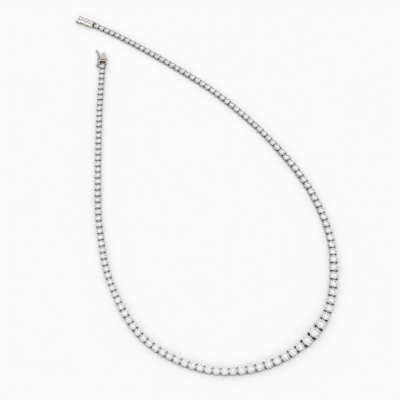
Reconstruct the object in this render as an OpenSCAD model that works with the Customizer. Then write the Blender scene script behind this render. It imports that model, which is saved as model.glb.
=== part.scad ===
// Riviere necklace, unfastened, lying on a surface with its stones up.
// Millimetres, +Z up, origin on the surface under the middle of the outline.
// The row runs from the clasp box to the clasp tongue. In the local frame of a setting, X points
// along the row towards the tongue, Y towards the outer side of the loop, and Z = 0 is the surface.

/* [Row] */
// Diameter of the centre stone, which the other stones follow
centre_stone = 4.05; // [3.6:0.05:4.6]
// Settings between the centre stone and the clasp box
box_side_count = 64; // [50:1:70]
// Settings between the centre stone and the end of the tongue side
tongue_side_count = 68; // [54:1:74]
// Gap between two settings of the back of the row
link_gap = 0.37; // [0.3:0.01:0.5]

/* [Cut of the stones] */
// Width of the table as a share of the stone
table_share = 0.57; // [0.5:0.01:0.64]
// Height of the crown as a share of the stone
crown_share = 0.15; // [0.12:0.01:0.17]
// Height of the girdle as a share of the stone
girdle_share = 0.03; // [0.02:0.005:0.05]
// Depth of the pavilion as a share of the stone
pavilion_share = 0.43; // [0.4:0.01:0.45]

/* [Settings] */
// Height of the point of each stone above the surface
culet_z = 0.35; // [0.25:0.05:0.6]
// Metal that stands out past the girdle on each side
rim = 0.05; // [0.03:0.01:0.1]
// Thickness of a setting's wall at its thinnest
wall = 0.33; // [0.28:0.01:0.4]
// Height of the square base of a setting, under its eight-sided head
base_h = 0.8; // [0.75:0.05:0.95]
// Metal by which the middle of a head stands out over the hinges
brow = 0.08; // [0.04:0.01:0.1]
// Diameter of a claw on the centre stone, which the other claws follow
claw_d = 0.66; // [0.5:0.02:0.76]
// Gap between a stone and its metal
seat_gap = 0.03; // [0.02:0.01:0.06]
// Length of solid wall beside a gallery window
pier = 0.75; // [0.6:0.05:0.9]
// Height of the rail below a gallery window
rail_h = 0.3; // [0.2:0.05:0.4]
// Height of a gallery window
window_h = 0.42; // [0.3:0.02:0.5]

/* [Hinges] */
// Height of the middle of the hinge loops
hinge_z = 0.5; // [0.45:0.01:0.55]
// Width and height of the wire of a hinge loop
loop_wire = 0.2; // [0.16:0.01:0.24]
// Diameter of the post that a loop passes round
post_d = 0.26; // [0.2:0.01:0.3]
// Clearance of a loop on every side
loop_play = 0.17; // [0.15:0.01:0.2]

/* [Clasp box] */
// Width of the box
box_w = 3.8; // [3.4:0.05:4.2]
// Angle by which the box turns inwards at its hinge
box_turn = 3; // [0:0.5:4]
// Thickness of the floor under the tongue
box_floor = 0.3; // [0.2:0.05:0.4]
// Height of the slot that the tongue enters
slot_h = 0.9; // [0.8:0.05:1.1]
// Width of the slot
slot_w = 2.6; // [2.5:0.05:2.7]
// Depth of the slot from the mouth of the box
slot_depth = 6.2; // [5.4:0.1:7]
// Length of the frame round the mouth
mouth_l = 0.6; // [0.4:0.05:1]
// Metal of that frame outside the box
mouth_rim = 0.25; // [0.15:0.05:0.4]
// Length of a pierced window in the side of the box
box_window_l = 1.8; // [1.2:0.05:2.2]
// Height of a pierced window in the side of the box
box_window_h = 0.55; // [0.4:0.05:0.65]
// Height of the lower edge of such a window above the surface
box_window_z = 0.95; // [0.8:0.05:1.1]

/* [Clasp tongue] */
// Length of the hollow end block
block_l = 2.1; // [1.8:0.1:2.6]
// Width of the end block
block_w = 3.2; // [2.8:0.05:3.25]
// Height of the end block
block_h = 1.45; // [1.2:0.05:1.7]
// Thickness of the sides and the floor of the end block
block_wall = 0.25; // [0.2:0.05:0.4]
// Thickness of the end block where the tongue leaves it
block_end = 0.6; // [0.4:0.05:0.8]
// Length of the tongue
tongue_l = 4.6; // [4:0.1:5.2]
// Width of the tongue where it leaves the block
tongue_root_w = 2.1; // [1.9:0.05:2.45]
// Width of the tongue at its tip
tongue_tip_w = 1.5; // [1.3:0.05:1.85]
// Thickness of the leaves of the tongue
leaf_t = 0.27; // [0.22:0.01:0.3]
// Length that the thumb-piece stands out past the tongue
thumb_reach = 1.0; // [0.5:0.05:1.2]
// Width of the thumb-piece along the row
thumb_w = 0.7; // [0.4:0.05:0.9]

/* [Safety catch] */
// Length of the straight arm of the catch
arm_l = 6.2; // [5:0.1:7]
// Width of the arm
arm_w = 0.9; // [0.7:0.05:1]
// Thickness of the arm
arm_t = 0.36; // [0.3:0.02:0.44]
// Length of the thumb tab at the end of the arm
tab_l = 3.2; // [2.5:0.1:4]
// Angle by which the tab is bent outwards
tab_angle = 23; // [10:1:30]
// Height of the hinge of the catch above the surface
peg_z = 0.74; // [0.7:0.02:0.9]
// Diameter of the peg
peg_d = 0.5; // [0.4:0.02:0.54]
// Running clearance between the peg and the knuckle
peg_play = 0.05; // [0.02:0.01:0.08]
// Outer diameter of the knuckle
knuckle_d = 1.0; // [0.9:0.02:1.2]
// Length of the boss between the setting and the knuckle
boss_l = 0.36; // [0.32:0.02:0.5]

/* [Hidden] */
// Grades of the settings, outwards from the centre stone
// Columns: last setting of the grade, stone as a share of centre_stone, gap as a share of link_gap
GRADES = [
    [0, 1.000, 1.40],
    [1, 0.935, 1.40],
    [9, 0.785, 1.10],
    [27, 0.695, 1.00],
    [48, 0.620, 1.00],
    [999, 0.600, 1.00]
];
LAST = 0;
STONE = 1;
GAP = 2;

// Chosen points of the route that the row takes on the surface
ROUTE = [
    [-58.5, 86], [-35.5, 73.5], [-9, 56], [11.5, 40], [33, 17.5], [50, -8.5], [57.5, -36],
    [53, -64.5], [34, -83], [6.5, -88], [-20.5, -76], [-36, -52], [-42.5, -25], [-44.5, 1],
    [-45.5, 35.5], [-45.3, 59]
];
route_steps = 24;       // straight steps of the curve between two chosen points

FRONT_GRADE = 2;        // last grade whose settings are nodes of their own
front_reach = GRADES[FRONT_GRADE][LAST];
front_count = 2 * front_reach + 1;
box_stones = 3;

claw_lift = 0.62;       // height of a claw's top up the crown, as a share of the crown
claw_inset = 0.35;      // claw's middle outside the girdle, as a share of its radius
claw_round = 0.45;      // height of a claw's bevelled top, as a share of its radius
seat_drop = 0.06;       // top of the walls below the girdle, as a share of the stone
head_end = 0.26;        // half the width of a head's end over the hinge, as a share of half the setting
head_cut = 0.4;         // how far a head's corners are cut back, as a share of half the setting
post_inset = 0.05;      // metal between the face of a setting and its hinge post
weld = 0.15;            // depth by which soldered pieces run into each other
skin = 0.02;            // height at which a resting piece clears the surface
deck_gap = 0.05;        // gap between the slot of the clasp box and the points of its stones
box_chamfer = 0.3;      // bevel of the box's upright corners
head_l = 0.22;          // length of the head that keeps the knuckle on its peg
head_over = 0.18;       // head's radius outside the peg
side_play = 0.08;       // clearance of the knuckle along its peg
tab_flare = 1.15;       // width of the tab's end as a share of the arm
thumb_h = 0.42;         // height of the thumb-piece above the tongue
tongue_z = 0.45;        // height of the underside of the tongue
leaf_gap = 0.34;        // opening between the leaves of the tongue at the thumb-piece
thumb_x = 0.4;          // distance of the thumb-piece from the end block
peg_x = 0.5;            // distance of the peg in front of the middle of the last setting

metal = [0.80, 0.80, 0.79];
gem = [0.93, 0.95, 0.95];

function front_name(word, n) = str(word, n < 10 ? "0" : "", n);
function front_link(n) = n - 1 - front_reach;

// Sizes of the setting with number k, counted from the centre stone
function grade(k) = [for (g = GRADES) if (abs(k) <= g[LAST]) g][0];
function stone_d(k) = centre_stone * grade(k)[STONE];
function side(k) = stone_d(k) + 2 * rim;
function gap(k) = link_gap * grade(k)[GAP];
function pitch(k) = side(k) + gap(k);
function claw_r(k) = claw_d / 2 * grade(k)[STONE];

// Places of the joints between the settings, measured along the row
box_k = -box_side_count - 1;
box_pitch = pitch(box_k);
box_l = box_stones * box_pitch - gap(box_k);
first_joint = mouth_l + box_l + gap(box_k) / 2;
link_count = box_side_count + 1 + tongue_side_count;
function link_k(i) = i - box_side_count;
joint_s = [
    for (i = 0, s = first_joint; i <= link_count; s = s + pitch(link_k(i)), i = i + 1) s
];
row_l = joint_s[link_count];

// The route as a smooth curve, drawn to the length of the row
function curve(a, b, c, d, u) =
    (2 * b + (c - a) * u + (2 * a - 5 * b + 4 * c - d) * u * u + (3 * b - a - 3 * c + d) * pow(u, 3)) / 2;
route_end = len(ROUTE) - 1;
function route_point(i) =
    i < 0 ? 2 * ROUTE[0] - ROUTE[1]
    : i > route_end ? 2 * ROUTE[route_end] - ROUTE[route_end - 1]
    : ROUTE[i];
route_line = [
    for (i = [0:route_end - 1], j = [0:route_steps - 1])
        curve(route_point(i - 1), route_point(i), route_point(i + 1), route_point(i + 2), j / route_steps),
    ROUTE[route_end]
];
route_last = len(route_line) - 1;
route_s = [
    for (i = 0, s = 0; i <= route_last;
        s = s + (i < route_last ? norm(route_line[i + 1] - route_line[i]) : 0), i = i + 1) s
];
lay = row_l / route_s[route_last];
route_x = [for (i = [0:route_last]) [route_s[i] * lay, route_line[i][0] * lay]];
route_y = [for (i = [0:route_last]) [route_s[i] * lay, route_line[i][1] * lay]];
function row_point(s) = [lookup(s, route_x), lookup(s, route_y)];

joints = [for (s = joint_s) row_point(s)];
function heading(a, b) = atan2(b[1] - a[1], b[0] - a[0]);
box_heading = heading(row_point(0), joints[0]) + box_turn;
box_start = joints[0] - first_joint * [cos(box_heading), sin(box_heading)];

// The last setting, which is soldered to the tongue
last_k = tongue_side_count;
last_side = side(last_k);
last_heading = heading(joints[link_count - 1], joints[link_count]);
tongue_tip = joints[link_count] + (block_l + tongue_l) * [cos(last_heading), sin(last_heading)];

// Middle of the outline, which becomes the origin
function outline(a, b, w) = [
    for (p = [a, b], t = [-w / 2, w / 2]) p + t * [-sin(heading(a, b)), cos(heading(a, b))]
];
corners = concat(
    outline(box_start, joints[0], box_w + 2 * mouth_rim),
    [for (i = [0:link_count - 1]) each outline(joints[i], joints[i + 1], side(link_k(i)))],
    [tongue_tip]
);
origin = [
    for (axis = [0, 1])
        (min([for (p = corners) p[axis]]) + max([for (p = corners) p[axis]])) / 2
];

module at_origin() {
    translate([-origin[0], -origin[1], 0]) children();
}

module at_link(k) {
    i = k + box_side_count;
    middle = (joints[i] + joints[i + 1]) / 2;
    at_origin()
        translate([middle[0], middle[1], 0])
            rotate([0, 0, heading(joints[i], joints[i + 1])])
                children();
}

// The clasp box's frame starts at the mouth of the box, with X along the row
module at_box() {
    at_origin()
        translate([box_start[0], box_start[1], 0])
            rotate([0, 0, box_heading])
                children();
}

function box_stone_x(i) = mouth_l + side(box_k) / 2 + i * box_pitch;
box_culet_z = box_floor + slot_h + deck_gap;

// A round brilliant with its point at the height z
module brilliant(d, z) {
    r = d / 2;
    girdle_z = z + pavilion_share * d;
    crown_z = girdle_z + girdle_share * d;
    table_z = crown_z + crown_share * d;
    table_r = r * table_share;
    points = concat(
        [[0, 0, z]],
        [for (i = [0:15]) [r * cos(22.5 * i), r * sin(22.5 * i), girdle_z]],
        [for (i = [0:15]) [r * cos(22.5 * i), r * sin(22.5 * i), crown_z]],
        [for (i = [0:7]) [table_r * cos(45 * i), table_r * sin(45 * i), table_z]]
    );
    function low(i) = 1 + i % 16;
    function high(i) = 17 + i % 16;
    function top(i) = 33 + i % 8;
    polyhedron(points, concat(
        [for (i = [0:15]) [0, low(i), low(i + 1)]],
        [for (i = [0:15]) [low(i), high(i), high(i + 1), low(i + 1)]],
        [for (i = [0:7]) [top(i), high(2 * i + 1), high(2 * i)]],
        [for (i = [0:7]) [top(i), top(i + 1), high(2 * i + 1)]],
        [for (i = [0:7]) [top(i + 1), high(2 * i + 2), high(2 * i + 1)]],
        [[for (i = [7:-1:0]) top(i)]]
    ));
}

// Top of the walls that a stone rests in, with the stone's point at the height z
function seat_z(d, z) = z + (pavilion_share - seat_drop) * d;

// The room that a stone takes in its metal: a cone below the seat and a notch in the claws above it
module stone_room(d, z) {
    r = d / 2;
    down = atan(2 * pavilion_share);
    up = atan(crown_share / (0.5 - table_share / 2));
    point_z = z - seat_gap / cos(down);
    table_r = r * table_share;
    table_z = z + (pavilion_share + girdle_share + crown_share) * d + seat_gap / cos(up);
    wide = r + seat_gap;
    seat = seat_z(d, z);
    rotate_extrude($fn = 48)
        polygon([
            [0, point_z],
            [(seat - point_z) / tan(down), seat],
            [wide, seat],
            [wide, table_z - (wide - table_r) * tan(up)],
            [table_r, table_z],
            [0, table_z]
        ]);
}

// One claw standing over the girdle, from the height z0 to its bevelled top
module claw(r, z0, z1) {
    rotate_extrude($fn = 24)
        polygon([[0, z0], [r, z0], [r, z1 - claw_round * r], [r * (1 - claw_round), z1], [0, z1]]);
}

function claw_place(k) = stone_d(k) / 2 + claw_inset * claw_r(k);
function claw_top(k, z) =
    z + (pavilion_share + girdle_share + claw_lift * crown_share) * stone_d(k);

module claws(k, foot_z, z) {
    for (turn = [45:90:315])
        rotate([0, 0, turn])
            translate([claw_place(k), 0, 0])
                claw(claw_r(k), foot_z, claw_top(k, z));
}

// Plan of a setting's square base
module base_plan(k) {
    h = side(k) / 2;
    polygon([[h, -h], [h, h], [-h, h], [-h, -h]]);
}

// Plan of a setting's head: its corners are cut back and its ends stand out over the hinges
module head_plan(k) {
    h = side(k) / 2;
    out = h + brow;
    m = head_end * h;
    c = head_cut * h;
    polygon([
        [out, -m], [out, m], [h - c, h], [c - h, h],
        [-out, m], [-out, -m], [c - h, -h], [h - c, -h]
    ]);
}

function wall_top(k, z) = seat_z(stone_d(k), z);

// Hinge loop at the front end, which passes round the post of the setting numbered next
loop_in = post_d / 2 + loop_play;
loop_out = loop_in + loop_wire;
module hinge_loop(front_x, reach) {
    root = front_x - weld;
    post_x = front_x + reach + post_inset + post_d / 2;
    translate([0, 0, hinge_z - loop_wire / 2])
        linear_extrude(loop_wire)
            difference() {
                union() {
                    translate([root, -loop_out]) square([post_x - root, 2 * loop_out]);
                    translate([post_x, 0]) circle(loop_out, $fn = 32);
                }
                translate([front_x, -loop_in]) square([post_x - front_x, 2 * loop_in]);
                translate([post_x, 0]) circle(loop_in, $fn = 32);
            }
}

// Slot in the back wall for the neighbour's loop, and the post that stands in it
slot_half = loop_out + loop_play;
slot_deep = post_inset + post_d / 2 + loop_out + loop_play;
hinge_slot_h = loop_wire + 2 * loop_play;
module hinge_slot(back_x) {
    translate([back_x - weld, -slot_half, hinge_z - hinge_slot_h / 2])
        cube([slot_deep + weld, 2 * slot_half, hinge_slot_h]);
}

module hinge_post(back_x) {
    translate([back_x + post_inset + post_d / 2, 0, hinge_z - hinge_slot_h / 2 - post_inset])
        cylinder(d = post_d, h = hinge_slot_h + 2 * post_inset, $fn = 24);
}

// Gallery window through the side walls, or through the inner side alone
module gallery(k, both_sides) {
    w = side(k);
    outer = both_sides ? w / 2 + weld : 0;
    translate([pier - w / 2, -w / 2 - weld, rail_h])
        cube([w - 2 * pier, w / 2 + weld + outer, window_h]);
}

// Walls, claws and post of the setting numbered k
module setting_head(k, both_sides = true) {
    top = wall_top(k, culet_z);
    difference() {
        union() {
            linear_extrude(base_h) base_plan(k);
            translate([0, 0, base_h - weld]) linear_extrude(top - base_h + weld) head_plan(k);
            claws(k, 0, culet_z);
        }
        translate([0, 0, -weld]) cylinder(r = side(k) / 2 - wall, h = top + 2 * weld, $fn = 48);
        gallery(k, both_sides);
        hinge_slot(-side(k) / 2);
        stone_room(stone_d(k), culet_z);
    }
    hinge_post(-side(k) / 2);
}

module setting(k) {
    color(metal) {
        union() {
            setting_head(k);
            hinge_loop(side(k) / 2, gap(k) / 2 + gap(k + 1) / 2);
        }
    }
}

module stone(k) {
    color(gem) brilliant(stone_d(k), culet_z);
}

// Hollow box of the clasp under three stones
module clasp_box() {
    top = wall_top(box_k, box_culet_z);
    well_r = side(box_k) / 2 - wall;
    h = box_w / 2;
    c = box_chamfer;
    end = mouth_l + box_l;
    color(metal) difference() {
        union() {
            linear_extrude(top)
                polygon([
                    [mouth_l - weld, -h], [end - c, -h], [end, c - h], [end, h - c],
                    [end - c, h], [mouth_l - weld, h]
                ]);
            translate([0, -h - mouth_rim, 0]) cube([mouth_l, box_w + 2 * mouth_rim, top + mouth_rim / 2]);
            for (i = [0:box_stones - 1])
                translate([box_stone_x(i), 0, 0]) claws(box_k, top - rail_h, box_culet_z);
            hinge_loop(end, gap(box_k));
        }
        translate([-weld, -slot_w / 2, box_floor]) cube([slot_depth + weld, slot_w, slot_h]);
        for (i = [0:box_stones - 1])
            translate([box_stone_x(i), 0, 0]) {
                translate([0, 0, box_culet_z - deck_gap - weld]) cylinder(r = well_r, h = top, $fn = 48);
                stone_room(stone_d(box_k), box_culet_z);
            }
        for (i = [0:box_stones - 2])
            translate([box_stone_x(i) + (box_pitch - box_window_l) / 2, -box_w, box_window_z])
                cube([box_window_l, 2 * box_w, box_window_h]);
    }
}

module clasp_box_stones() {
    color(gem)
        for (i = [0:box_stones - 1])
            translate([box_stone_x(i), 0, 0]) brilliant(stone_d(box_k), box_culet_z);
}

// Spring tongue: a leaf folded back over itself at the tip. X = 0 is the face of the end block
module tongue() {
    tip_z = tongue_z + leaf_t / 2;
    rear_z = tongue_z + leaf_t + leaf_gap;
    fold = 2 * leaf_t;
    intersection() {
        translate([0, tongue_root_w, 0])
            rotate([90, 0, 0])
                linear_extrude(2 * tongue_root_w)
                    polygon([
                        [-weld, tongue_z], [tongue_l - leaf_t / 2, tongue_z], [tongue_l, tip_z],
                        [tongue_l - leaf_t / 2, tongue_z + 1.5 * leaf_t], [thumb_x, rear_z + leaf_t],
                        [thumb_x, rear_z], [tongue_l - fold, tongue_z + leaf_t],
                        [-weld, tongue_z + leaf_t]
                    ]);
        linear_extrude(block_h)
            polygon([
                [-weld, -tongue_root_w / 2], [tongue_l, -tongue_tip_w / 2],
                [tongue_l, tongue_tip_w / 2], [-weld, tongue_root_w / 2]
            ]);
    }
    translate([thumb_x, -tongue_root_w / 2 - thumb_reach, rear_z + leaf_t / 3])
        cube([thumb_w, tongue_root_w + thumb_reach, thumb_h]);
}

// Peg of the safety catch, with its boss and head, along +Y from the wall of the last setting
module catch_peg() {
    rotate([-90, 0, 0]) {
        translate([0, 0, -weld]) cylinder(d = knuckle_d, h = boss_l + weld, $fn = 32);
        cylinder(d = peg_d, h = boss_l + arm_w + 2 * side_play + weld, $fn = 32);
        translate([0, 0, boss_l + arm_w + 2 * side_play])
            cylinder(d = peg_d + 2 * head_over, h = head_l, $fn = 32);
    }
}

module clasp_tongue() {
    front = last_side / 2;
    color(metal) at_link(last_k) {
        union() {
            difference() {
                union() {
                    setting_head(last_k, false);
                    translate([front - weld, -block_w / 2, 0]) cube([block_l + weld, block_w, block_h]);
                }
                translate([front, block_wall - block_w / 2, block_wall])
                    cube([block_l - block_end, block_w - 2 * block_wall, block_h]);
                stone_room(stone_d(last_k), culet_z);
            }
            translate([front + block_l, 0, 0]) tongue();
            translate([peg_x, front, peg_z]) catch_peg();
        }
    }
}

// Flat arm with its knuckle on the peg. It leans down until its tab touches the surface
arm_reach = arm_l + tab_l * cos(tab_angle);
catch_droop = asin((peg_z - arm_t / 2 - skin) / arm_reach);
module safety_catch() {
    color(metal) at_link(last_k)
        translate([peg_x, last_side / 2 + boss_l + side_play + arm_w / 2, peg_z])
            rotate([0, catch_droop, 0])
                difference() {
                    union() {
                        rotate([90, 0, 0])
                            cylinder(d = knuckle_d, h = arm_w, center = true, $fn = 32);
                        translate([0, 0, -arm_t / 2])
                            linear_extrude(arm_t) catch_plan();
                    }
                    rotate([90, 0, 0])
                        cylinder(d = peg_d + 2 * peg_play, h = 2 * arm_w, center = true, $fn = 32);
                }
}

module catch_plan() {
    w = arm_w / 2;
    bend = w * tan(tab_angle / 2);
    out = [cos(tab_angle), sin(tab_angle)];
    across = [-out[1], out[0]];
    tip = [arm_l, 0] + tab_l * out;
    polygon([
        [0, -w], [arm_l + bend, -w],
        tip - w * tab_flare * across, tip + w * tab_flare * across,
        [arm_l - bend, w], [0, w]
    ]);
}

at_box() clasp_box();
at_box() clasp_box_stones();
for (k = [-box_side_count:-front_reach - 1]) at_link(k) setting(k);  // box_side_links
for (k = [-box_side_count:-front_reach - 1]) at_link(k) stone(k);  // box_side_stones
for (n = [1:front_count]) {
    at_link(front_link(n)) setting(front_link(n));
    at_link(front_link(n)) stone(front_link(n));
}
for (k = [front_reach + 1:tongue_side_count - 1]) at_link(k) setting(k);  // tongue_side_links
for (k = [front_reach + 1:tongue_side_count]) at_link(k) stone(k);  // tongue_side_stones
clasp_tongue();
safety_catch();
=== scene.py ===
"""Looks of a riviere necklace that lies unfastened on a pale floor."""
import math

import bpy
import numpy as np
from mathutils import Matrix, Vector


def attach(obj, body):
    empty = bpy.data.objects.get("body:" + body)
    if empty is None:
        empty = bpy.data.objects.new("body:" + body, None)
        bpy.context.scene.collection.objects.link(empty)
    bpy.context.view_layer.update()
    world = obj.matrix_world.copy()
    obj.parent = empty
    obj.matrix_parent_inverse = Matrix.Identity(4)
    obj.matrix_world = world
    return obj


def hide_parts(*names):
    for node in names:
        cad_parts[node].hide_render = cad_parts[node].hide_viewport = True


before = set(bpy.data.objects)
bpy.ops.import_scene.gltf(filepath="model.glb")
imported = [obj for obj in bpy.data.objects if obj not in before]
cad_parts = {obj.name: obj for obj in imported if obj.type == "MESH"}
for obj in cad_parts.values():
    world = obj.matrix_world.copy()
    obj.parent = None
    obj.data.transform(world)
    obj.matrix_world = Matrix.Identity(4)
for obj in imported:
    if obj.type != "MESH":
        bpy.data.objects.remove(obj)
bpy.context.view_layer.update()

MM = 0.001

# Camera, placed as the photograph's was
CAMERA_AT = (1.187 * MM, -165.897 * MM, 326.98 * MM)
CAMERA_TARGET = (1.187 * MM, -11.857 * MM, 1.8 * MM)
LENS_MM = 74.25
SENSOR_MM = 36.0
CLIP_START = 0.01
CLIP_END = 10.0

# Cut of the stones, as shares of their diameter
TABLE_R = 0.285
STAR_R = 0.382
CROWN_H = 0.15
GIRDLE_H = 0.03
PAVILION_H = 0.43
LOWER_R = 0.115

# Look of the stones: two casts that a soft cloud mixes
STONE_WARM = (0.845, 0.845, 0.80)
STONE_COOL = (0.805, 0.81, 0.785)
CLOUD_SCALE = 260.0
CLOUD_EDGES = (0.35, 0.65)
STONE_ROUGHNESS = 0.01
STONE_IOR = 2.42

# Tones of the metal: tops, upright walls painted darker than tops as painted shade, and painted
# shade in recesses
ROW_TONES = {
    "top": (0.78, 0.775, 0.745),
    "wall": (0.64, 0.64, 0.61),
    "recess_shade": (0.014, 0.014, 0.012),
}
# Painted shade: dark tones for the end walls of the heads and for the ledges, so the gaps between
# settings read dark
HEAD_END_SHADE = {
    "top": (0.17, 0.17, 0.16),
    "wall": (0.17, 0.17, 0.16),
    "recess_shade": (0.03, 0.03, 0.027),
}
# Painted light: light tones for the ends of the bases, lighter than the walls of the row
BASE_END_LIGHT = {
    "top": (0.80, 0.80, 0.78),
    "wall": (0.80, 0.80, 0.78),
    "recess_shade": (0.60, 0.60, 0.58),
}
# Painted shade: the darkest tones, for the head ends, ledges and base ends of the settings round
# the centre stones
CENTRE_END_SHADE = {
    "top": (0.05, 0.05, 0.045),
    "wall": (0.04, 0.04, 0.035),
    "recess_shade": (0.005, 0.005, 0.004),
}
# Tones of the box, tongue and catch, each with its walls and recesses in painted shade as in the
# row
BOX_TONES = {
    "top": (0.80, 0.78, 0.755),
    "wall": (0.70, 0.65, 0.61),
    "recess_shade": (0.016, 0.010, 0.008),
}
TONGUE_TONES = {
    "top": (0.50, 0.44, 0.40),
    "wall": (0.36, 0.31, 0.28),
    "recess_shade": (0.014, 0.007, 0.004),
}
CATCH_TONES = {
    "top": (0.36, 0.36, 0.35),
    "wall": (0.22, 0.22, 0.21),
    "recess_shade": (0.02, 0.02, 0.02),
}

# Roughness of the metal
ROW_ROUGHNESS = 0.16
END_ROUGHNESS = 0.3
CLASP_ROUGHNESS = 0.2
CATCH_ROUGHNESS = 0.3

# Where the painted shade of the metal sets in: between walls and tops, and between recesses
# darkened by occlusion and open faces
STEEP_EDGES = (0.15, 0.7)
OPEN_EDGES = (0.42, 0.80)
RECESS_REACH = 1.0 * MM
OCCLUSION_SAMPLES = 8
TOP_OPENNESS = 0.35

# Fine wear of the metal
WEAR_SCALE = 1400.0
WEAR_DETAIL = 4.0
WEAR_EDGES = (0.3, 0.7)
WEAR_ROUGHNESS = (0.7, 1.4)
WEAR_BUMP = 0.15
WEAR_DEPTH = 0.02 * MM

# Faces of the settings that look at the next setting, which get painted shade on the heads and,
# outside the centre, painted light on the bases, as shares of the stone where no unit is given
END_FACING = 0.6
END_TOP = 0.365
END_FROM = 0.17
BASE_H = 0.8 * MM
BASE_TOLERANCE = 0.05 * MM
LEDGE_LEVEL = 0.9
# Settings whose end faces get the darkest painted shade
CENTRE_NODES = [f"setting_{n:02d}" for n in range(8, 13)]

# Reading of the stones in the frame
FRONT_STONES = [f"stone_{n:02d}" for n in range(1, 20)]
LEVEL_TOLERANCE = 0.001 * MM
CULET_DECIMALS = 7
ABOVE_WIDEST_STONE = 4.6 * MM
BELOW_STONE_DISTANCE = 0.5 * MM

# Floor
FLOOR_SIZE = 3.0
FLOOR_LEVELS = (0.915, 0.92)
GRAIN_SCALE = 900.0
GRAIN_EDGES = (0.3, 0.7)
FLOOR_ROUGHNESS = 0.7
FLOOR_SPECULAR = 0.2

# Soft studio light: levels against the height of its direction, and duller gaps between panels
SKY_STOPS = ((0.0, 0.44), (0.18, 0.55), (0.42, 1.273), (1.0, 1.273))
PANEL_SCALE = 3.2
PANEL_EDGES = (0.36, 0.44)
PANEL_GAPS = 0.45


def link(obj):
    bpy.context.scene.collection.objects.link(obj)
    return obj


def mesh_object(name, verts, faces, material):
    mesh = bpy.data.meshes.new(name)
    mesh.from_pydata([tuple(v) for v in verts], [], faces)
    mesh.materials.append(material)
    mesh.update()
    return link(bpy.data.objects.new(name, mesh))


def vectors(items, key):
    """One row of three numbers for every vertex or face of a mesh."""
    values = np.empty(len(items) * 3)
    items.foreach_get(key, values)
    return values.reshape(-1, 3)


def grey(level):
    return (level, level, level)


# Materials


class Nodes:
    """Short calls that add shader nodes to a material or a world and link them."""

    def __init__(self, owner):
        owner.use_nodes = True
        self.tree = owner.node_tree
        self.tree.nodes.clear()

    def add(self, kind, values=(), **settings):
        node = self.tree.nodes.new(kind)
        for key, value in settings.items():
            setattr(node, key, value)
        for key, value in dict(values).items():
            if isinstance(value, bpy.types.NodeSocket):
                self.tree.links.new(value, node.inputs[key])
            else:
                node.inputs[key].default_value = value
        return node

    def ramp(self, factor, *stops):
        node = self.add("ShaderNodeValToRGB", {"Fac": factor})
        while len(node.color_ramp.elements) < len(stops):
            node.color_ramp.elements.new(0.5)
        for element, (position, color) in zip(node.color_ramp.elements, stops):
            element.position = position
            element.color = (*color, 1.0)
        return node.outputs["Color"]

    def blend(self, factor, edges, low, high):
        """One colour below the first edge, the other above the second."""
        return self.ramp(factor, (edges[0], low), (edges[1], high))

    def mix(self, factor, a, b):
        node = self.add("ShaderNodeMix", data_type="RGBA")
        for index, value in ((0, factor), (6, a), (7, b)):
            if isinstance(value, bpy.types.NodeSocket):
                self.tree.links.new(value, node.inputs[index])
            else:
                node.inputs[index].default_value = (*value, 1.0)
        return node.outputs[2]

    def map_range(self, value, source, target):
        values = {
            "Value": value,
            "From Min": source[0],
            "From Max": source[1],
            "To Min": target[0],
            "To Max": target[1],
        }
        return self.add("ShaderNodeMapRange", values).outputs["Result"]


def metal_material(name, tones, roughness):
    """Metal with one tone for tops, a darker tone for walls as painted shade, and a dark tone
    painted into recesses by occlusion as painted shade, and with fine wear.
    """
    material = bpy.data.materials.new(name)
    n = Nodes(material)
    place = n.add("ShaderNodeTexCoord").outputs["Object"]
    normal = n.add("ShaderNodeNewGeometry").outputs["Normal"]
    up = n.add("ShaderNodeSeparateXYZ", {"Vector": normal}).outputs["Z"]
    steep = n.add("ShaderNodeMath", {0: up}, operation="ABSOLUTE").outputs["Value"]
    # Painted shade: upright walls take a darker tone than tops
    slope_shade = n.blend(steep, STEEP_EDGES, tones["wall"], tones["top"])
    # Painted shade: faces that occlusion finds in recesses are darkened towards the recess tone
    occlusion = n.add(
        "ShaderNodeAmbientOcclusion", {"Distance": RECESS_REACH}, samples=OCCLUSION_SAMPLES
    ).outputs["AO"]
    openness = n.add(
        "ShaderNodeMath", {0: steep, 1: TOP_OPENNESS, 2: occlusion}, operation="MULTIPLY_ADD"
    ).outputs["Value"]
    unshaded_share = n.blend(openness, OPEN_EDGES, grey(0.0), grey(1.0))
    color = n.mix(unshaded_share, tones["recess_shade"], slope_shade)
    wear = n.add(
        "ShaderNodeTexNoise", {"Vector": place, "Scale": WEAR_SCALE, "Detail": WEAR_DETAIL}
    ).outputs["Fac"]
    rough = n.map_range(wear, WEAR_EDGES, [roughness * share for share in WEAR_ROUGHNESS])
    bump = n.add(
        "ShaderNodeBump", {"Height": wear, "Strength": WEAR_BUMP, "Distance": WEAR_DEPTH}
    ).outputs["Normal"]
    shader = n.add(
        "ShaderNodeBsdfPrincipled",
        {"Base Color": color, "Metallic": 1.0, "Roughness": rough, "Normal": bump},
    )
    n.add("ShaderNodeOutputMaterial", {"Surface": shader.outputs["BSDF"]})
    return material


def stone_material():
    """Clear cut stone with a faint warm cast and small differences from stone to stone."""
    material = bpy.data.materials.new("brilliants")
    n = Nodes(material)
    place = n.add("ShaderNodeTexCoord").outputs["Object"]
    cloud = n.add(
        "ShaderNodeTexNoise", {"Vector": place, "Scale": CLOUD_SCALE, "Detail": 1.0}
    ).outputs["Fac"]
    color = n.blend(cloud, CLOUD_EDGES, STONE_WARM, STONE_COOL)
    shader = n.add(
        "ShaderNodeBsdfPrincipled",
        {
            "Base Color": color,
            "Roughness": STONE_ROUGHNESS,
            "IOR": STONE_IOR,
            "Transmission Weight": 1.0,
        },
    )
    n.add("ShaderNodeOutputMaterial", {"Surface": shader.outputs["BSDF"]})
    return material


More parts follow.
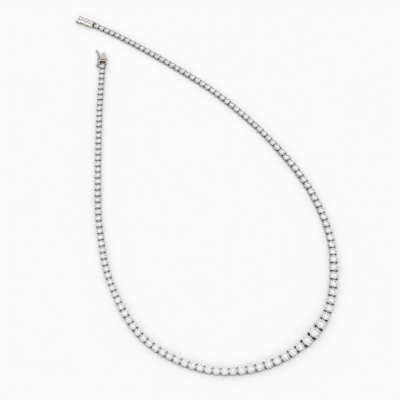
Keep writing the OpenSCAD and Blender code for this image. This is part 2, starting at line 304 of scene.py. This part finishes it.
def floor_material():
    """Matt white with a grain that is hardly seen."""
    material = bpy.data.materials.new("floor")
    n = Nodes(material)
    place = n.add("ShaderNodeTexCoord").outputs["Object"]
    grain = n.add("ShaderNodeTexNoise", {"Vector": place, "Scale": GRAIN_SCALE}).outputs["Fac"]
    color = n.blend(grain, GRAIN_EDGES, grey(FLOOR_LEVELS[0]), grey(FLOOR_LEVELS[1]))
    shader = n.add(
        "ShaderNodeBsdfPrincipled",
        {"Base Color": color, "Roughness": FLOOR_ROUGHNESS, "Specular IOR Level": FLOOR_SPECULAR},
    )
    n.add("ShaderNodeOutputMaterial", {"Surface": shader.outputs["BSDF"]})
    return material


# Places of the stones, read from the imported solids


def stone_places(node):
    """Culet, diameter and heading of each stone in a node of the frame."""
    points = vectors(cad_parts[node].data.vertices, "co")
    low = points[:, 2].min()
    lowest = points[points[:, 2] < low + LEVEL_TOLERANCE]
    culets = np.unique(np.round(lowest[:, :2], CULET_DECIMALS), axis=0)
    places = []
    for culet in culets:
        others = np.hypot(*(culets - culet).T)
        reach = min([ABOVE_WIDEST_STONE] + [d for d in others if d > BELOW_STONE_DISTANCE]) / 2
        offsets = points[:, :2] - culet
        radii = np.hypot(*offsets.T)
        own = radii < reach
        high = points[own][:, 2].max()
        corner = offsets[own & (points[:, 2] > high - LEVEL_TOLERANCE)][0]
        places.append(
            {
                "at": (culet[0], culet[1], low),
                "d": 2 * radii[own].max(),
                "turn": math.atan2(corner[1], corner[0]) % (math.pi / 4),
            }
        )
    return places


# Cut stones


def brilliant(d):
    """Points and faces of a round brilliant: 57 facets and a girdle, its culet at the origin."""
    ring = [(math.cos(math.pi / 8 * i), math.sin(math.pi / 8 * i)) for i in range(16)]
    girdle_low = PAVILION_H
    girdle_high = girdle_low + GIRDLE_H
    table_z = girdle_high + CROWN_H
    crown_slope = CROWN_H / (0.5 - TABLE_R)
    half_step = math.cos(math.pi / 8)
    star_z = table_z - (STAR_R * half_step - TABLE_R) * crown_slope
    lower_z = LOWER_R * half_step * PAVILION_H / 0.5
    points = [(0, 0, 0)]
    points += [(LOWER_R * ring[i][0], LOWER_R * ring[i][1], lower_z) for i in range(1, 16, 2)]
    points += [(0.5 * x, 0.5 * y, girdle_low) for x, y in ring]
    points += [(0.5 * x, 0.5 * y, girdle_high) for x, y in ring]
    points += [(STAR_R * ring[i][0], STAR_R * ring[i][1], star_z) for i in range(1, 16, 2)]
    points += [(TABLE_R * ring[i][0], TABLE_R * ring[i][1], table_z) for i in range(0, 16, 2)]
    # Number of the first point of each ring, from the pavilion up
    lower, low, high, star, table = 1, 9, 25, 41, 49
    faces = [tuple(table + i for i in range(8))]
    for i in range(8):
        before, after = (i - 1) % 8, (i + 1) % 8
        here, between, following = 2 * i, 2 * i + 1, (2 * i + 2) % 16
        faces += [
            (0, lower + i, low + here, lower + before),
            (lower + i, low + between, low + here),
            (lower + i, low + following, low + between),
            (high + here, star + i, table + i, star + before),
            (star + i, table + after, table + i),
            (high + here, high + between, star + i),
            (high + between, high + following, star + i),
            (low + here, low + between, high + between, high + here),
            (low + between, low + following, high + following, high + between),
        ]
    return np.array(points) * d, faces


def stones_piece(name, nodes, material):
    """All stones of some nodes as one piece."""
    verts, faces = [], []
    for node in nodes:
        for place in stone_places(node):
            points, stone_faces = brilliant(place["d"])
            c, s = math.cos(place["turn"]), math.sin(place["turn"])
            x, y, z = points.T
            start = len(verts)
            at = place["at"]
            turned = (at[0] + c * x - s * y, at[1] + s * x + c * y, at[2] + z)
            verts += list(np.column_stack(turned))
            faces += [tuple(start + i for i in face) for face in stone_faces]
    piece = mesh_object(name, verts, faces, material)
    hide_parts(*nodes)
    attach(piece, "necklace")


# Metal


def row_layout():
    """Centre, point height, diameter and heading of every stone of the row."""
    nodes = [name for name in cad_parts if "stone" in name and name != "clasp_box_stones"]
    places = [place for node in nodes for place in stone_places(node)]
    centres = np.array([place["at"][:2] for place in places])
    headings = []
    for centre in centres:
        near = np.argsort(np.hypot(*(centres - centre).T))[1:3]
        along = centres[near[0]] - centres[near[1]]
        headings.append(along / np.hypot(*along))
    low = np.array([place["at"][2] for place in places])
    d = np.array([place["d"] for place in places])
    return centres, low, d, np.array(headings)


def assign_end_materials(node, layout):
    """Gives the second material, a painted shade, to the heads' end walls and ledges, and the
    third, a painted light except round the centre stones, to base ends.
    """
    centres, low, d, headings = layout
    mesh = node.data
    middles = vectors(mesh.polygons, "center")
    normals = vectors(mesh.polygons, "normal")
    offsets = middles[:, None, :2] - centres[None]
    own = np.argmin(np.hypot(offsets[..., 0], offsets[..., 1]), axis=1)
    offset = offsets[np.arange(len(middles)), own]
    heading = headings[own]
    across = np.abs(heading[:, 0] * offset[:, 1] - heading[:, 1] * offset[:, 0])
    outward = (normals[:, :2] * offset).sum(1) > 0
    facing = np.abs((normals[:, :2] * heading).sum(1)) > END_FACING
    height = middles[:, 2]
    in_head = (height > BASE_H - BASE_TOLERANCE) & (height < low[own] + END_TOP * d[own])
    beside_brow = across > END_FROM * d[own]
    shaded_ledge = (normals[:, 2] > LEDGE_LEVEL) & (np.abs(height - BASE_H) < BASE_TOLERANCE)
    # End walls of the heads and the ledges take painted shade; the ends of the bases take the third
    # material
    shaded_head_ends = (outward & facing & in_head & beside_brow) | shaded_ledge
    base_ends = outward & facing & (height <= BASE_H - BASE_TOLERANCE)
    indices = (shaded_head_ends + 2 * base_ends).astype(np.int32)
    mesh.polygons.foreach_set("material_index", indices)


def dress_metal():
    row = metal_material("white_metal", ROW_TONES, ROW_ROUGHNESS)
    ends = [
        metal_material("shaded_head_ends", HEAD_END_SHADE, END_ROUGHNESS),
        metal_material("base_ends", BASE_END_LIGHT, END_ROUGHNESS),
    ]
    # Round the centre stones both end materials are the darkest painted shade
    centre_end_shade = [metal_material("centre_end_shade", CENTRE_END_SHADE, END_ROUGHNESS)] * 2
    own = {
        "clasp_box": metal_material("box_metal", BOX_TONES, CLASP_ROUGHNESS),
        "clasp_tongue": metal_material("tongue_metal", TONGUE_TONES, CLASP_ROUGHNESS),
        "safety_catch": metal_material("catch_metal", CATCH_TONES, CATCH_ROUGHNESS),
    }
    layout = row_layout()
    for name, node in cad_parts.items():
        if "stone" in name:
            continue
        node.data.materials.clear()
        node.data.materials.append(own.get(name, row))
        if name not in own:
            for material in centre_end_shade if name in CENTRE_NODES else ends:
                node.data.materials.append(material)
            assign_end_materials(node, layout)


# Stage


def floor():
    half = FLOOR_SIZE / 2
    corners = [(-half, -half, 0), (half, -half, 0), (half, half, 0), (-half, half, 0)]
    mesh_object("floor", corners, [(0, 1, 2, 3)], floor_material())


def sky():
    world = bpy.data.worlds.new("studio")
    bpy.context.scene.world = world
    n = Nodes(world)
    direction = n.add("ShaderNodeTexCoord").outputs["Generated"]
    height = n.add("ShaderNodeSeparateXYZ", {"Vector": direction}).outputs["Z"]
    level = n.ramp(height, *[(position, grey(value)) for position, value in SKY_STOPS])
    noise = n.add(
        "ShaderNodeTexNoise", {"Vector": direction, "Scale": PANEL_SCALE, "Detail": 0.0}
    ).outputs["Fac"]
    panels = n.map_range(noise, PANEL_EDGES, (PANEL_GAPS, 1.0))
    light = n.add("ShaderNodeVectorMath", {0: level, "Scale": panels}, operation="SCALE")
    background = n.add(
        "ShaderNodeBackground", {"Color": light.outputs["Vector"], "Strength": 1.0}
    )
    n.add("ShaderNodeOutputWorld", {"Surface": background.outputs["Background"]})


def camera():
    data = bpy.data.cameras.new("camera")
    data.lens = LENS_MM
    data.sensor_width = SENSOR_MM
    data.clip_start = CLIP_START
    data.clip_end = CLIP_END
    cam = link(bpy.data.objects.new("camera", data))
    cam.location = CAMERA_AT
    view = Vector(CAMERA_TARGET) - Vector(CAMERA_AT)
    cam.rotation_euler = view.to_track_quat("-Z", "Y").to_euler()
    bpy.context.scene.camera = cam


camera()
sky()
floor()
stones = stone_material()
dress_metal()
stones_piece("stones_of_the_clasp_box", ["clasp_box_stones"], stones)
stones_piece("stones_of_the_box_side", ["box_side_stones"], stones)
stones_piece("stones_of_the_front", FRONT_STONES, stones)
stones_piece("stones_of_the_tongue_side", ["tongue_side_stones"], stones)

bpy.context.scene.view_settings.view_transform = "Standard"
